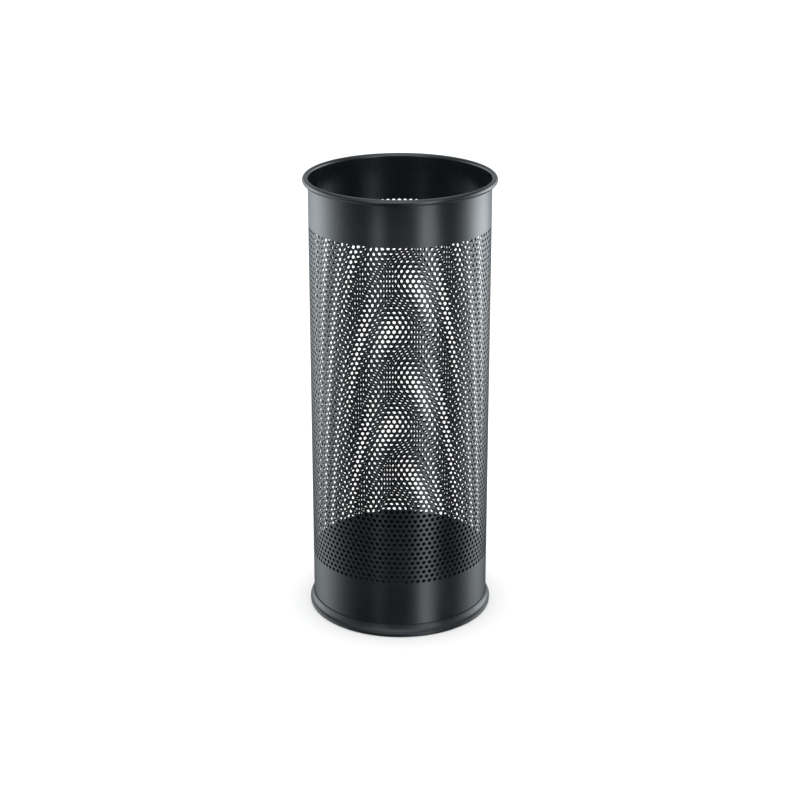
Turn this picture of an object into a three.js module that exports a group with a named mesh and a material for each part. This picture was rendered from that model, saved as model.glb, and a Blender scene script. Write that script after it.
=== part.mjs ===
// Umbrella stand. A rolled sheet-steel sleeve with an outward-curled rim is closed at the foot by a pressed
// steel base pan, and both stand in a moulded floor ring with a flared skirt. A moulded drip tray lies loose
// on the pan and lifts out through the mouth.
//
// Millimetres, +Z up. The origin is on the floor, on the sleeve's axis.
//
// The sleeve's field of small round perforations is far finer than the rest of the model, so the sleeve is
// a plain wall here, with its true inside and outside faces.
import * as THREE from "three";

// Overall sizes
const overallHeight = 620;
const overallDiameter = 260;

// Sleeve: rolled sheet, with its top edge curled outwards into a round bead
const sheetThickness = 0.8;
const beadDiameter = 8.2;

// Base pan: a disc with its flange turned down inside the sleeve's foot, and one swage pressed into it
const panTopHeight = 14;
const panThickness = 0.8;
const panCornerRadius = 3;
const swageInset = 37;
const swageHalfWidth = 5;
const swageDepth = 1.6;

// Floor ring: a channel for the edges of the sleeve and the pan, with a skirt that flares out to the foot
const ringHeight = 17;
const ringSpread = 5.4;
const ringFloorThickness = 2;
const ringInnerWallThickness = 2;
const skirtThickness = 1.8;
const skirtLipHeight = 7;
const skirtEdgeThickness = 1;
const skirtEdgeRounding = 0.3;
const footEdgeRadius = 2.6;

// Drip tray
const trayDepth = 38;
const trayWallThickness = 1.6;
const trayFloorThickness = 2;
const trayDraft = 3.2;
const trayLipOverhang = 2;
const trayLipThickness = 1.8;
const trayLipRounding = 0.5;
const trayCornerRadius = 6;
const trayRibSpacing = 28;
const trayRibHeight = 2.4;
const trayRibHalfWidth = 1.2;

// Clearances
const seatGap = 0.3;
const trayClearance = 1.5;
const curlEdgeGap = 0.35;
const panCornerToRingWall = 2;

// Fineness of the turned surfaces
const facetsAround = 60;

const degrees = THREE.MathUtils.degToRad;

// A point of a turned outline: distance from the axis, and height.
function at(radius, height) {
  return new THREE.Vector2(radius, height);
}

// Points along an arc about a centre, both ends included. Angles are in degrees, 0 outwards and 90 up.
function arc(centre, radius, from, to, steps) {
  return Array.from({ length: steps + 1 }, (_, i) => {
    const angle = degrees(from + ((to - from) * i) / steps);
    return at(centre.x + radius * Math.cos(angle), centre.y + radius * Math.sin(angle));
  });
}

// Points along a curve that leaves `start` towards `pull` and arrives at `end` from it.
function sweep(start, pull, end, steps) {
  return new THREE.QuadraticBezierCurve(start, pull, end).getPoints(steps);
}

// Turns an outline about the Z axis. An outline that doesn't end on the axis is closed on itself.
function turned(outline) {
  const onAxis = outline[0].x === 0 && outline[outline.length - 1].x === 0;
  const points = onAxis ? outline : [...outline, outline[0]];
  return new THREE.LatheGeometry(points, facetsAround).rotateX(Math.PI / 2);
}

function piece(name, geometry, material) {
  const mesh = new THREE.Mesh(geometry, material);
  mesh.name = name;
  return mesh;
}

const coatedSteel = new THREE.MeshStandardMaterial({ color: 0x16181a, roughness: 0.34, metalness: 0.25 });
const ringPlastic = new THREE.MeshStandardMaterial({ color: 0x141617, roughness: 0.42, metalness: 0 });
const trayPlastic = new THREE.MeshStandardMaterial({ color: 0x101112, roughness: 0.55, metalness: 0 });

// Places that several pieces share
const sleeveInsideRadius = overallDiameter / 2 - beadDiameter;
const sleeveOutsideRadius = sleeveInsideRadius + sheetThickness;
const sleeveFootHeight = ringFloorThickness + seatGap;
const panOutsideRadius = sleeveInsideRadius - seatGap;

// The sleeve: one sheet, rolled into a tube, whose top edge is curled outwards and down until its free edge
// nearly meets the outside of the wall.
function sleeveGeometry() {
  const curlRadius = beadDiameter / 2;
  const centre = at(sleeveInsideRadius + curlRadius, overallHeight - curlRadius);
  const edgeReach = (curlRadius - sheetThickness - curlEdgeGap) / curlRadius;
  const curlEnd = -180 + THREE.MathUtils.radToDeg(Math.acos(edgeReach));
  return turned([
    at(sleeveOutsideRadius, sleeveFootHeight),
    ...arc(centre, curlRadius - sheetThickness, 180, curlEnd, 10),
    ...arc(centre, curlRadius, curlEnd, 0, 5),
    ...arc(centre, curlRadius, 0, 180, 6).slice(1),
    at(sleeveInsideRadius, sleeveFootHeight),
  ]);
}

// The base pan: a flat disc with one swaged stiffening ring pressed downwards, a rounded corner, and a flange
// that runs down inside the sleeve to the floor ring.
function panGeometry() {
  const underside = panTopHeight - panThickness;
  const cornerCentre = at(panOutsideRadius - panCornerRadius, panTopHeight - panCornerRadius);
  const swageRadius = panOutsideRadius - swageInset;
  const swage = (height) => [
    at(swageRadius - swageHalfWidth, height),
    at(swageRadius - swageHalfWidth / 2, height - swageDepth),
    at(swageRadius + swageHalfWidth / 2, height - swageDepth),
    at(swageRadius + swageHalfWidth, height),
  ];
  return turned([
    at(0, underside),
    ...swage(underside),
    ...arc(cornerCentre, panCornerRadius - panThickness, 90, 0, 3),
    at(panOutsideRadius - panThickness, sleeveFootHeight),
    at(panOutsideRadius, sleeveFootHeight),
    ...arc(cornerCentre, panCornerRadius, 0, 90, 3),
    ...swage(panTopHeight).reverse(),
    at(0, panTopHeight),
  ]);
}

// The floor ring: a channel that the edges of the sleeve and the pan stand in. Its outer wall rises from a
// rounded foot to a lip, then sweeps in and up, hollow-curved, until it closes on the sleeve.
function ringGeometry() {
  const wallOutside = panOutsideRadius - panThickness - seatGap;
  const wallInside = wallOutside - ringInnerWallThickness;
  const wallTop = panTopHeight - panCornerRadius - panCornerToRingWall;
  const footRadius = sleeveOutsideRadius + ringSpread;
  const footCentre = at(footRadius - footEdgeRadius, footEdgeRadius);
  const lipTop = at(footRadius - 2 * skirtEdgeRounding, skirtLipHeight);
  const skirtInside = sleeveOutsideRadius + seatGap;
  const skirtPull = at(skirtInside + skirtEdgeThickness, skirtLipHeight + skirtThickness);
  const skirtTop = at(skirtInside + skirtEdgeThickness - skirtEdgeRounding, ringHeight - skirtEdgeRounding);
  return turned([
    at(wallInside, 0),
    ...arc(footCentre, footEdgeRadius, -90, 0, 4),
    at(footRadius, skirtLipHeight - skirtEdgeRounding),
    ...sweep(lipTop, skirtPull, skirtTop, 6),
    at(skirtInside + skirtEdgeRounding, ringHeight),
    at(skirtInside, ringHeight - skirtEdgeRounding),
    at(skirtInside, ringHeight - skirtThickness),
    at(footRadius - skirtThickness, skirtLipHeight - skirtThickness),
    at(footRadius - skirtThickness, ringFloorThickness),
    at(wallOutside, ringFloorThickness),
    at(wallOutside, wallTop),
    at(wallInside, wallTop),
  ]);
}

// The drip tray: a shallow dish with drafted walls, a lip turned outwards, and evenly spaced rings of rib on
// its floor that keep the umbrellas' tips out of the water.
function trayGeometry() {
  const bottom = panTopHeight + seatGap;
  const top = bottom + trayDepth;
  const floorTop = bottom + trayFloorThickness;
  const lipRadius = sleeveInsideRadius - trayClearance;
  const wallTopRadius = lipRadius - trayLipOverhang;
  const wallFootRadius = wallTopRadius - trayDraft;
  const outsideCorner = at(wallFootRadius - trayCornerRadius, bottom + trayCornerRadius);
  const insideRadius = trayCornerRadius - trayWallThickness;
  const insideCorner = at(outsideCorner.x, floorTop + insideRadius);
  const ribCount = Math.floor((insideCorner.x - 2 * trayRibHalfWidth) / trayRibSpacing);
  const ribs = Array.from({ length: ribCount }, (_, i) => {
    const radius = trayRibSpacing * (i + 1);
    return [
      at(radius - trayRibHalfWidth, floorTop),
      at(radius - trayRibHalfWidth / 2, floorTop + trayRibHeight),
      at(radius + trayRibHalfWidth / 2, floorTop + trayRibHeight),
      at(radius + trayRibHalfWidth, floorTop),
    ];
  });
  return turned([
    at(0, bottom),
    ...arc(outsideCorner, trayCornerRadius, -90, 0, 4),
    at(wallTopRadius, top - trayLipThickness),
    at(lipRadius, top - trayLipThickness),
    at(lipRadius, top - trayLipRounding),
    at(lipRadius - trayLipRounding, top),
    at(wallTopRadius - trayWallThickness, top),
    ...arc(insideCorner, insideRadius, 0, -90, 4),
    ...ribs.flat().reverse(),
    at(0, floorTop),
  ]);
}

const stand = new THREE.Group();
stand.add(
  piece("perforated_sleeve", sleeveGeometry(), coatedSteel),
  piece("base_pan", panGeometry(), coatedSteel),
  piece("floor_ring", ringGeometry(), ringPlastic),
  piece("drip_tray", trayGeometry(), trayPlastic),
);

export default stand;
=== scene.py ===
import math

import bmesh
import bpy
from mathutils import Matrix, Vector


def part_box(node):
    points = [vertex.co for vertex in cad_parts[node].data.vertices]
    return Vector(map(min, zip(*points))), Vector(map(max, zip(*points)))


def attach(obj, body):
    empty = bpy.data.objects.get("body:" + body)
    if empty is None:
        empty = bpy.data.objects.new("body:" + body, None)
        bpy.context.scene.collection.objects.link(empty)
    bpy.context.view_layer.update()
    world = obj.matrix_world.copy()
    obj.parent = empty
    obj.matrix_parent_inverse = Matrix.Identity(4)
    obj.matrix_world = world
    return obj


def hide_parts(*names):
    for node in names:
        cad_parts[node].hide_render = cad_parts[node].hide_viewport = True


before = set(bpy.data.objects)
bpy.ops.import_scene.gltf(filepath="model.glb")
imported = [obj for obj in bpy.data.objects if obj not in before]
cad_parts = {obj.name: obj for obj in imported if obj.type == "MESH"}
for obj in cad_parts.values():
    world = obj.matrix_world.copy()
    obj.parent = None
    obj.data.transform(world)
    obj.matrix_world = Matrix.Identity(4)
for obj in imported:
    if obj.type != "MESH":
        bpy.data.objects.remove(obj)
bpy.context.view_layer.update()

MM = 0.001


# ---------------------------------------------------------------------------------------------------------
# The sleeve: one sheet of 0.8 mm steel, punched with staggered rows of 5.5 mm round holes between two
# plain bands, rolled into a tube and welded along one side. Its top edge is curled outwards into the rim.
# It is powder-coated black: semi-gloss outside, and duller inside, where less powder reaches.

sleeve_low, sleeve_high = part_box("perforated_sleeve")
sheet_thickness = 0.8 * MM
bead_radius = 4.1 * MM
curl_edge_gap = 0.35 * MM
curl_steps = 18
top_band_height = 50 * MM
inside_radius = sleeve_high.x - 2 * bead_radius
outside_radius = inside_radius + sheet_thickness

columns = 96
rows = 69
hole_radius = 2.75 * MM
hole_sides = 12
first_row_height = 82 * MM
column_angle = 2 * math.pi / columns
pitch = column_angle * (inside_radius + outside_radius) / 2
row_spacing = pitch * math.sqrt(3) / 2
past_holes = 0.4 * pitch
lattice_turn = math.radians(0.37)
weld_column = 28


def new_piece(name, bm, sharp_above=40):
    """Makes a finished mesh into a piece, smooth except over edges sharper than an angle in degrees."""
    mesh = bpy.data.meshes.new(name)
    bm.to_mesh(mesh)
    bm.free()
    mesh.shade_smooth()
    mesh.set_sharp_from_angle(angle=math.radians(sharp_above))
    piece = bpy.data.objects.new(name, mesh)
    bpy.context.collection.objects.link(piece)
    return piece


def punched_strip(bm, first_row, row_count, column, pierced):
    """Adds a column of hexagonal cells of sheet, every second one half a pitch along, rolled up."""
    strip = bmesh.new()
    bmesh.ops.create_circle(strip, radius=pitch / math.sqrt(3), segments=6)
    bmesh.ops.subdivide_edges(strip, edges=strip.edges[:], cuts=1)
    hole = bmesh.ops.create_circle(strip, radius=hole_radius, segments=hole_sides)["verts"]
    bmesh.ops.bridge_loops(strip, edges=strip.edges[:])
    if not pierced:
        hole_edge = [edge for edge in strip.edges if set(hole).issuperset(edge.verts)]
        bmesh.ops.holes_fill(strip, edges=hole_edge, sides=hole_sides)
    pattern = strip.verts[:]
    cell = pattern + strip.edges[:] + strip.faces[:]
    for row in range(first_row, first_row + row_count):
        copied = bmesh.ops.duplicate(strip, geom=cell)["geom"]
        moved = [part for part in copied if isinstance(part, bmesh.types.BMVert)]
        across = pitch / 2 if row % 2 else 0
        bmesh.ops.translate(strip, verts=moved, vec=(across, first_row_height + row * row_spacing, 0))
    bmesh.ops.delete(strip, geom=pattern, context="VERTS")
    for vert in strip.verts:
        angle = lattice_turn + column * column_angle + vert.co.x / pitch * column_angle
        vert.co = (inside_radius * math.sin(angle), -inside_radius * math.cos(angle), vert.co.y)
    rolled = bpy.data.meshes.new("rolled")
    strip.to_mesh(rolled)
    strip.free()
    bm.from_mesh(rolled)
    bpy.data.meshes.remove(rolled)


def punched_band(first_row, row_count):
    """A ring of the field: a plain column at the weld, and the punched column spun round from beside it."""
    bm = bmesh.new()
    punched_strip(bm, first_row, row_count, weld_column + 1, pierced=True)
    bmesh.ops.spin(
        bm, geom=bm.verts[:] + bm.edges[:] + bm.faces[:], cent=(0, 0, 0), axis=(0, 0, 1), dvec=(0, 0, 0),
        angle=(columns - 2) * column_angle, steps=columns - 2, use_duplicate=True,
    )
    punched_strip(bm, first_row, row_count, weld_column, pierced=False)
    bmesh.ops.remove_doubles(bm, verts=bm.verts[:], dist=0.01 * MM)
    return bm


def zigzag_edge(bm, row, side):
    """The open edge of a band above (side 1) or below (side -1) a row, past the row's holes."""
    limit = (first_row_height + row * row_spacing) * side + past_holes
    return [
        edge for edge in bm.edges
        if len(edge.link_faces) == 1 and max(vert.co.z * side for vert in edge.verts) > limit
    ]


def carry_edge(bm, edges, radius, height):
    """Extrudes an edge that runs round the tube, and brings the new one to a radius and a height."""
    grown = bmesh.ops.extrude_edge_only(bm, edges=edges)["geom"]
    verts = [part for part in grown if isinstance(part, bmesh.types.BMVert)]
    widening = radius / verts[0].co.xy.length
    bmesh.ops.scale(bm, verts=verts, vec=(widening, widening, 0))
    bmesh.ops.translate(bm, verts=verts, vec=(0, 0, height))
    ends = set(verts)
    return [part for part in grown if isinstance(part, bmesh.types.BMEdge) and ends.issuperset(part.verts)]


def thicken(bm):
    """Gives the sheet its thickness, away from the tube's inside and towards the middle of the curl."""
    bmesh.ops.recalc_face_normals(bm, faces=bm.faces[:])
    wall = max(bm.faces, key=lambda face: -face.calc_center_median().z)
    if wall.normal.xy.dot(wall.calc_center_median().xy) > 0:
        bmesh.ops.reverse_faces(bm, faces=bm.faces[:])
    bmesh.ops.solidify(bm, geom=bm.faces[:], thickness=sheet_thickness)


def foot_band(bm):
    level = carry_edge(bm, zigzag_edge(bm, 0, -1), inside_radius, first_row_height - pitch)
    carry_edge(bm, level, inside_radius, sleeve_low.z)


def top_band(bm):
    level = carry_edge(bm, zigzag_edge(bm, rows - 1, 1), inside_radius, sleeve_high.z - top_band_height)
    centre = Vector((inside_radius + bead_radius, sleeve_high.z - bead_radius))
    edge_reach = (bead_radius - sheet_thickness - curl_edge_gap) / bead_radius
    curl = 2 * math.pi - math.acos(edge_reach)
    for step in range(curl_steps + 1):
        angle = math.pi - curl * step / curl_steps
        place = centre + bead_radius * Vector((math.cos(angle), math.sin(angle)))
        level = carry_edge(bm, level, place.x, place.y)


class Finish:
    """The shader tree of a material or a world. Each node added hands back its outlet as a Wire."""

    def __init__(self, owner, shader="Principled BSDF"):
        owner.use_nodes = True
        self.owner = owner
        self.tree = owner.node_tree
        self.shader = self.tree.nodes[shader]

    def feed(self, node, inputs):
        for key, value in inputs.items():
            if isinstance(value, Wire):
                self.tree.links.new(value.socket, node.inputs[key])
            else:
                node.inputs[key].default_value = value

    def node(self, kind, settings, inputs, output=0):
        made = self.tree.nodes.new("ShaderNode" + kind)
        for name, value in settings.items():
            setattr(made, name, value)
        self.feed(made, inputs)
        return Wire(self, made.outputs[output])

    def shade(self, inputs):
        self.feed(self.shader, inputs)

    def noise(self, scale, detail=2, stretch=(1, 1, 1)):
        """Noise with so many features a metre, from 0 to 1."""
        place = self.node("TexCoord", {}, {}, output="Object")
        vector = self.node("Mapping", {}, {"Vector": place, "Scale": stretch})
        return self.node("TexNoise", {}, {"Vector": vector, "Scale": scale, "Detail": detail})

    def ramp(self, value, low, high, to_low=0, to_high=1):
        """Goes from to_low to to_high as a value goes from low to high, with soft ends."""
        ends = {"Value": value, "From Min": low, "From Max": high, "To Min": to_low, "To Max": to_high}
        return self.node("MapRange", {"interpolation_type": "SMOOTHSTEP"}, ends)

    def mix(self, factor, colour_a, colour_b):
        """Two colours mixed: a at 0 and b at 1."""
        return self.node("Mix", {"data_type": "RGBA"}, {0: factor, 6: colour_a, 7: colour_b}, output=2)

    def bump(self, height, distance):
        return self.node("Bump", {}, {"Height": height, "Distance": distance})


class Wire:
    """A shader node's outlet. A sum or a product with one that gives a number adds a Math node."""

    def __init__(self, finish, socket):
        self.finish = finish
        self.socket = socket

    def math(self, operation, *values):
        return self.finish.node("Math", {"operation": operation}, dict(enumerate(values)))

    def __add__(self, other):
        return self.math("ADD", self, other)

    def __radd__(self, other):
        return self.math("ADD", other, self)

    def __sub__(self, other):
        return self.math("SUBTRACT", self, other)

    def __rsub__(self, other):
        return self.math("SUBTRACT", other, self)

    def __mul__(self, other):
        return self.math("MULTIPLY", self, other)

    def __rmul__(self, other):
        return self.math("MULTIPLY", other, self)

    def exp(self):
        return self.math("EXPONENT", self)


def powder_coat(name, gloss, roughness):
    """Semi-gloss coat: fine orange peel, patches where it lies thicker, and specks of dust."""
    finish = Finish(bpy.data.materials.new(name))
    orange_peel = finish.noise(620)
    cloud = finish.ramp(finish.noise(14), 0.3, 0.7)
    streak = finish.ramp(finish.noise(24, stretch=(1, 1, 0.12)), 0.45, 0.75)
    grit = finish.noise(2600, detail=1)
    speck = finish.ramp(finish.noise(900, detail=1), 0.74, 0.80)
    coat = finish.mix(cloud, (0.0028, 0.0038, 0.0050, 1), (0.0041, 0.0052, 0.0066, 1))
    finish.shade({
        "Base Color": finish.mix(0.5 * speck, coat, (0.035, 0.038, 0.042, 1)),
        "Roughness": roughness + 0.04 * cloud + 0.05 * streak + 0.04 * grit + 0.1 * speck,
        "Normal": finish.bump(orange_peel + 0.35 * grit, 0.02 * MM),
        "IOR": 1.46,
        "Specular IOR Level": gloss,
    })
    return finish.owner


sleeve_coat = powder_coat("black_powder_coat", gloss=0.5, roughness=0.19)
inside_coat = powder_coat("black_powder_coat_inside", gloss=0.22, roughness=0.22)


def coat_sheet(bm):
    """Marks the faces of the straight wall's inside, where less powder reaches, for the second coat."""
    for face in bm.faces:
        if face.calc_center_median().xy.length < inside_radius + 0.05 * MM:
            face.material_index = 1


bands = (
    ("sleeve_foot_and_lower_field", 0, 23, foot_band),
    ("sleeve_middle_field", 23, 26, None),
    ("sleeve_upper_field_and_rim", 49, 20, top_band),
)
for band_name, first_row, row_count, end_band in bands:
    band = punched_band(first_row, row_count)
    if end_band:
        end_band(band)
    thicken(band)
    coat_sheet(band)
    sleeve_part = new_piece(band_name, band)
    sleeve_part.data.materials.append(sleeve_coat)
    sleeve_part.data.materials.append(inside_coat)
    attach(sleeve_part, "stand")
    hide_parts("perforated_sleeve")


# ---------------------------------------------------------------------------------------------------------
# The weld: the butt seam that closes the rolled sheet at the side, ground nearly flush and coated over. It
# runs up the plain strip that the punching leaves there, outside and inside.

weld_angle = lattice_turn + (weld_column + 0.25) * column_angle
weld_width = 1.7 * MM
weld_rise = 0.14 * MM
weld_step = 2.5 * MM
weld_sides = 14


def ripple(step):
    """How wide the weld is at a step along it, about 1."""
    return 1 + 0.10 * math.sin(2.1 * step) * math.sin(0.37 * step)


def weld_line(name, radius, low, high):
    bm = bmesh.new()
    ring = bmesh.ops.create_circle(bm, cap_ends=True, radius=1, segments=weld_sides)["verts"]
    middle = Vector((radius * math.sin(weld_angle), -radius * math.cos(weld_angle), low))
    bmesh.ops.scale(bm, verts=ring, vec=(weld_width / 2, weld_rise, 1))
    bmesh.ops.rotate(bm, verts=ring, cent=(0, 0, 0), matrix=Matrix.Rotation(weld_angle, 3, "Z"))
    bmesh.ops.translate(bm, verts=ring, vec=middle)
    edges = bm.edges[:]
    steps = round((high - low) / weld_step)
    for step in range(steps):
        grown = bmesh.ops.extrude_edge_only(bm, edges=edges)["geom"]
        verts = [part for part in grown if isinstance(part, bmesh.types.BMVert)]
        edges = [
            part for part in grown
            if isinstance(part, bmesh.types.BMEdge) and set(verts).issuperset(part.verts)
        ]
        change = ripple(step) / ripple(step - 1)
        here = Matrix.Translation(-Vector((middle.x, middle.y, 0)))
        bmesh.ops.scale(bm, verts=verts, vec=(change, change, 1), space=here)
        bmesh.ops.translate(bm, verts=verts, vec=(0, 0, (high - low) / steps))
    bmesh.ops.holes_fill(bm, edges=edges, sides=weld_sides)
    bmesh.ops.recalc_face_normals(bm, faces=bm.faces[:])
    weld = new_piece(name, bm)
    weld.data.materials.append(sleeve_coat)
    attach(weld, "stand")


weld_line("weld_outside", outside_radius, sleeve_low.z + 1 * MM, sleeve_high.z - 2 * bead_radius)
weld_line("weld_inside", inside_radius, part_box("base_pan")[1].z, sleeve_high.z - bead_radius)


# ---------------------------------------------------------------------------------------------------------
# The base pan: a disc of 0.8 mm steel, pressed with a rounded corner, a flange that turns down inside the
# sleeve's foot, where it is spot-welded, and a round swage that stiffens it. It is coated with the sleeve.

pan_low, pan_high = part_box("base_pan")
pan_corner = 3 * MM
swage_radius = pan_high.x - 37 * MM
swage_depth = 1.6 * MM


def rounded(outline, closed):
    """Rounds an outline's corners. Each point is (distance from the axis, height, rounding)."""
    points = []
    count = len(outline)
    for index, (reach, height, rounding) in enumerate(outline):
        corner = Vector((reach, height))
        if rounding == 0 or (not closed and index in (0, count - 1)):
            points.append(corner)
            continue
        back = (Vector(outline[index - 1][:2]) - corner).normalized()
        ahead = (Vector(outline[(index + 1) % count][:2]) - corner).normalized()
        half = back.angle(ahead) / 2
        centre = corner + (back + ahead).normalized() * rounding / math.sin(half)
        start = (corner + back * rounding / math.tan(half) - centre).normalized()
        end = (corner + ahead * rounding / math.tan(half) - centre).normalized()
        steps = max(2, round((math.pi - 2 * half) / math.radians(20)))
        points += [centre + rounding * start.slerp(end, step / steps) for step in range(steps + 1)]
    return points


def spun(outline, closed, around=192):
    """Spins an outline round the stand's axis. One that isn't closed starts and ends on the axis."""
    bm = bmesh.new()
    verts = [bm.verts.new((point.x, 0, point.y)) for point in rounded(outline, closed)]
    edges = [bm.edges.new(pair) for pair in zip(verts, verts[1:])]
    if closed:
        edges.append(bm.edges.new((verts[-1], verts[0])))
    bmesh.ops.spin(
        bm, geom=verts + edges, cent=(0, 0, 0), axis=(0, 0, 1), dvec=(0, 0, 0), angle=2 * math.pi,
        steps=around, use_merge=True,
    )
    bmesh.ops.remove_doubles(bm, verts=bm.verts[:], dist=0.005 * MM)
    bmesh.ops.recalc_face_normals(bm, faces=bm.faces[:])
    return bm


def swage(height):
    """The swage's points at the pan's top or underside, from the middle outwards."""
    floor = height - swage_depth
    return [
        (swage_radius - 5 * MM, height, 2 * MM),
        (swage_radius - 2.5 * MM, floor, 2 * MM),
        (swage_radius + 2.5 * MM, floor, 2 * MM),
        (swage_radius + 5 * MM, height, 2 * MM),
    ]


pan_top = pan_high.z
pan_underside = pan_top - sheet_thickness
flange_inside = pan_high.x - sheet_thickness
pan = new_piece("pressed_base_pan", spun([
    (0, pan_underside, 0),
    *swage(pan_underside),
    (flange_inside, pan_underside, pan_corner - sheet_thickness),
    (flange_inside, pan_low.z, 0.1 * MM),
    (pan_high.x, pan_low.z, 0.1 * MM),
    (pan_high.x, pan_top, pan_corner),
    *reversed(swage(pan_top)),
    (0, pan_top, 0),
], closed=False))
pan.data.materials.append(sleeve_coat)
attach(pan, "stand")
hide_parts("base_pan")


# ---------------------------------------------------------------------------------------------------------
# The floor ring: an injection-moulded ring of black plastic with a channel that the edges of the sleeve and
# the pan are pressed into. Its skirt flares out, hollow-curved, to a fine groove and a rounded foot.

ring_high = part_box("floor_ring")[1]
foot_reach = ring_high.x
ring_top = ring_high.z
skirt_inside = outside_radius + 0.3 * MM
wall_outside = flange_inside - 0.3 * MM
wall_inside = wall_outside - 2 * MM
wall_top = pan_top - pan_corner - 2 * MM
groove_height = 6.2 * MM


def flare(steps):
    """The skirt's hollow curve, from above the groove to its top edge."""
    start = Vector((foot_reach - 0.5 * MM, groove_height + 0.7 * MM))
    pull = Vector((skirt_inside + 1.0 * MM, groove_height + 2.4 * MM))
    end = Vector((skirt_inside + 0.75 * MM, ring_top - 0.4 * MM))
    for step in range(1, steps + 1):
        along = step / steps
        place = start.lerp(pull, along).lerp(pull.lerp(end, along), along)
        yield (place.x, place.y, 0)


ring = new_piece("moulded_floor_ring", spun([
    (wall_inside, 0, 0.5 * MM),
    (foot_reach, 0, 2.3 * MM),
    (foot_reach, groove_height - 0.7 * MM, 0.6 * MM),
    (foot_reach - 0.9 * MM, groove_height, 0.15 * MM),
    (foot_reach - 0.5 * MM, groove_height + 0.7 * MM, 0.25 * MM),
    *flare(14),
    (skirt_inside + 0.7 * MM, ring_top, 0.3 * MM),
    (skirt_inside, ring_top, 0.25 * MM),
    (skirt_inside, ring_top - 2 * MM, 0.5 * MM),
    (foot_reach - 2 * MM, groove_height, 1 * MM),
    (foot_reach - 2 * MM, 2 * MM, 0.3 * MM),
    (wall_outside, 2 * MM, 0.3 * MM),
    (wall_outside, wall_top, 0.4 * MM),
    (wall_inside, wall_top, 0.4 * MM),
], closed=True))


def ring_plastic():
    """Moulded plastic with a fine eroded grain, flow marks round the ring, and scuffs at the foot."""
    finish = Finish(bpy.data.materials.new("black_moulded_ring"))
    grain = finish.noise(1500)
    flow = finish.ramp(finish.noise(30, stretch=(1, 1, 3)), 0.3, 0.7)
    scuff = finish.ramp(finish.noise(160, detail=4, stretch=(1, 1, 6)), 0.58, 0.72)
    resin = finish.mix(flow, (0.0040, 0.0050, 0.0062, 1), (0.0058, 0.0070, 0.0084, 1))
    finish.shade({
        "Base Color": finish.mix(0.35 * scuff, resin, (0.030, 0.031, 0.033, 1)),
        "Roughness": 0.28 + 0.06 * flow + 0.05 * grain + 0.12 * scuff,
        "Normal": finish.bump(grain, 0.012 * MM),
        "Specular IOR Level": 0.3,
    })
    return finish.owner


ring.data.materials.append(ring_plastic())
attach(ring, "stand")
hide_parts("floor_ring")


# ---------------------------------------------------------------------------------------------------------
# The drip tray: a loose dish of black plastic, injection-moulded with drafted walls, a lip turned outwards
# and rings of rib on its floor that hold the umbrellas' tips clear of the water. It lies on the pan.

tray_low, tray_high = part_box("drip_tray")
tray_wall = 1.6 * MM
tray_floor = tray_low.z + 2 * MM
lip_underside = tray_high.z - 1.8 * MM
wall_top_reach = tray_high.x - 2 * MM
wall_foot_reach = wall_top_reach - 3.2 * MM
rib_spacing = 28 * MM
rib_height = 2.4 * MM
rib_half_width = 1.2 * MM


def rib(number):
    """The points of one rib on the tray's floor, from its outer foot to its inner one."""
    reach = number * rib_spacing
    crest = tray_floor + rib_height
    return [
        (reach + rib_half_width, tray_floor, 0.8 * MM),
        (reach + 0.5 * rib_half_width, crest, 0.45 * MM),
        (reach - 0.5 * rib_half_width, crest, 0.45 * MM),
        (reach - rib_half_width, tray_floor, 0.8 * MM),
    ]


tray = new_piece("moulded_drip_tray", spun([
    (0, tray_low.z, 0),
    (wall_foot_reach, tray_low.z, 6 * MM),
    (wall_top_reach, lip_underside, 0.8 * MM),
    (tray_high.x, lip_underside, 0.3 * MM),
    (tray_high.x, tray_high.z, 0.8 * MM),
    (wall_top_reach - tray_wall, tray_high.z, 0.8 * MM),
    (wall_foot_reach - tray_wall, tray_floor, 4.4 * MM),
    *rib(3),
    *rib(2),
    *rib(1),
    (3.2 * MM, tray_floor, 0.3 * MM),
    (3.0 * MM, tray_floor - 0.4 * MM, 0.15 * MM),
    (0, tray_floor - 0.4 * MM, 0),
], closed=False))


def tray_plastic():
    """Satin moulded plastic with a coarser grain, flow marks, and the bloom that dried rain leaves."""
    finish = Finish(bpy.data.materials.new("black_satin_tray"))
    grain = finish.noise(1100, detail=3)
    flow = finish.ramp(finish.noise(22), 0.3, 0.7)
    bloom = finish.ramp(finish.noise(45, detail=5), 0.52, 0.72)
    resin = finish.mix(flow, (0.0016, 0.0020, 0.0025, 1), (0.0026, 0.0031, 0.0037, 1))
    finish.shade({
        "Base Color": finish.mix(0.2 * bloom, resin, (0.012, 0.0125, 0.013, 1)),
        "Roughness": 0.44 + 0.06 * flow + 0.06 * grain + 0.12 * bloom,
        "Normal": finish.bump(grain, 0.03 * MM),
        "Specular IOR Level": 0.18,
    })
    return finish.owner


tray.data.materials.append(tray_plastic())
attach(tray, "tray")
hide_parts("drip_tray")


# ---------------------------------------------------------------------------------------------------------
# The studio: a pale floor in a white light tent. Tall soft panels round the stand and two softboxes above
# it show in its reflections only. The camera stands a few steps off, above the stand.

# Heights on the tent, as a direction's rise: -1 straight down, 0 level and 1 straight up.
panel_foot = -0.47
panel_full = -0.26
panel_fading = 0.1
panel_top = 0.6

tent_white = (1.45, 1.45, 1.45, 1)
cool_tint = (0.92, 1, 1.05)
camera_lens = 86.2
camera_distance = 2.65
camera_rise = math.radians(20.95)

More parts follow.
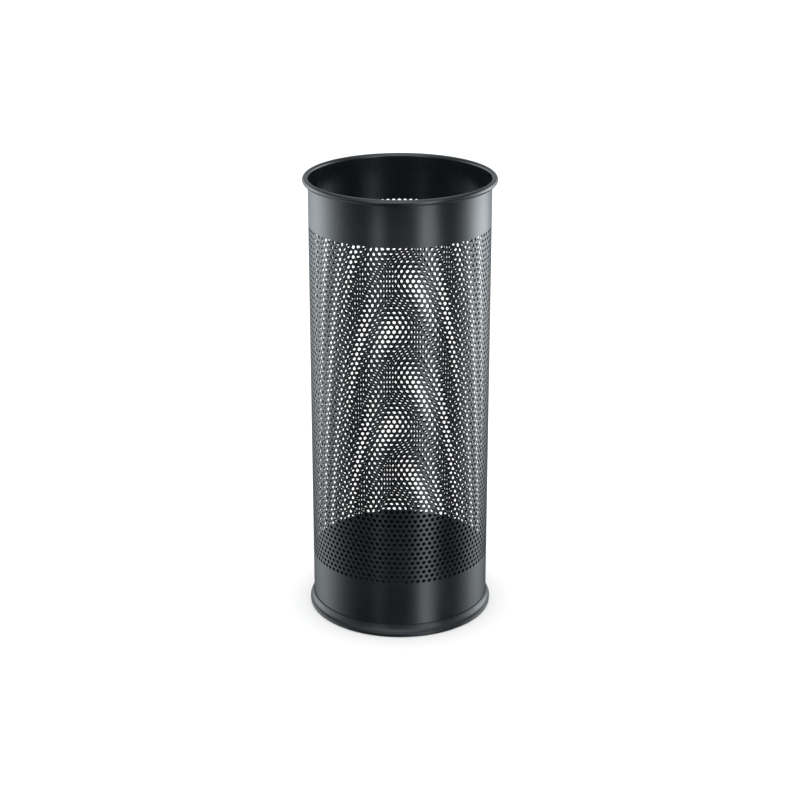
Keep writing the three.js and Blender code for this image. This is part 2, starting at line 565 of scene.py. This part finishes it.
floor_mesh = bpy.data.meshes.new("floor")
floor_bm = bmesh.new()
bmesh.ops.create_grid(floor_bm, x_segments=1, y_segments=1, size=40)
floor_bm.to_mesh(floor_mesh)
floor_bm.free()
floor = bpy.data.objects.new("floor", floor_mesh)
bpy.context.collection.objects.link(floor)
paper = Finish(bpy.data.materials.new("pale_floor"))
paper.shade({"Base Color": (0.93, 0.93, 0.93, 1), "Roughness": 0.9})
floor_mesh.materials.append(paper.owner)
floor.visible_glossy = False

world = bpy.data.worlds.new("studio")
bpy.context.scene.world = world
tent = Finish(world, "Background")
direction = tent.node("TexCoord", {}, {}, output="Generated")
rise = tent.node("SeparateXYZ", {}, {0: direction}, output="Z")
level = tent.node("VectorMath", {"operation": "MULTIPLY"}, {0: direction, 1: (1, 1, 0)})
heading = tent.node("VectorMath", {"operation": "NORMALIZE"}, {0: level})


def glow(towards, axis, spread):
    """A soft round of light, 1 in the middle, with a spread in degrees."""
    facing = tent.node("VectorMath", {"operation": "DOT_PRODUCT"}, {0: towards, 1: axis}, output="Value")
    return ((facing - 1) * (2 / math.radians(spread) ** 2)).exp()


def panel(azimuth, spread, foot, top):
    """A tall panel. Azimuth 0 is behind the camera, and it runs to the camera's right."""
    angle = math.radians(azimuth)
    across = glow(heading, (math.sin(angle), -math.cos(angle), 0), spread)
    lower = tent.ramp(rise, panel_foot, panel_full, foot, top)
    return across * lower * tent.ramp(rise, panel_fading, panel_top, 1, 0)


front_softbox = (0, -math.cos(math.radians(50)), math.sin(math.radians(50)))
back_softbox = (0, math.cos(math.radians(55)), math.sin(math.radians(55)))
panels = (
    tent.ramp(rise, panel_foot, panel_full, 0.01, 0.2)
    + panel(azimuth=35, spread=10.5, foot=3.3, top=5.4)
    + panel(azimuth=-27.5, spread=8, foot=0.1, top=2.1)
    + panel(azimuth=3, spread=8, foot=0, top=0.25)
    + panel(azimuth=115, spread=25, foot=1.0, top=5.9)
    + panel(azimuth=-112, spread=31, foot=1.35, top=4.0)
    + panel(azimuth=180, spread=26, foot=0.1, top=0.25)
    + 3.4 * glow(direction, front_softbox, spread=36)
    + 2.4 * glow(direction, back_softbox, spread=19)
)
tinted = tent.node("VectorMath", {"operation": "SCALE"}, {0: cool_tint, "Scale": panels})
reflected = tent.node("LightPath", {}, {}, output="Is Glossy Ray")
tent.shade({"Color": tent.mix(reflected, tent_white, tinted)})
world.cycles.sampling_method = "NONE"

bpy.context.scene.view_settings.view_transform = "Standard"

camera_data = bpy.data.cameras.new("camera")
camera_data.sensor_width = 36
camera_data.lens = camera_lens
camera = bpy.data.objects.new("camera", camera_data)
bpy.context.collection.objects.link(camera)
aim = Vector((0, 0, 0.3015))
sight = Vector((0, -math.cos(camera_rise), math.sin(camera_rise)))
camera.location = aim + camera_distance * sight
camera.rotation_euler = sight.to_track_quat("Z", "Y").to_euler()
bpy.context.scene.camera = camera
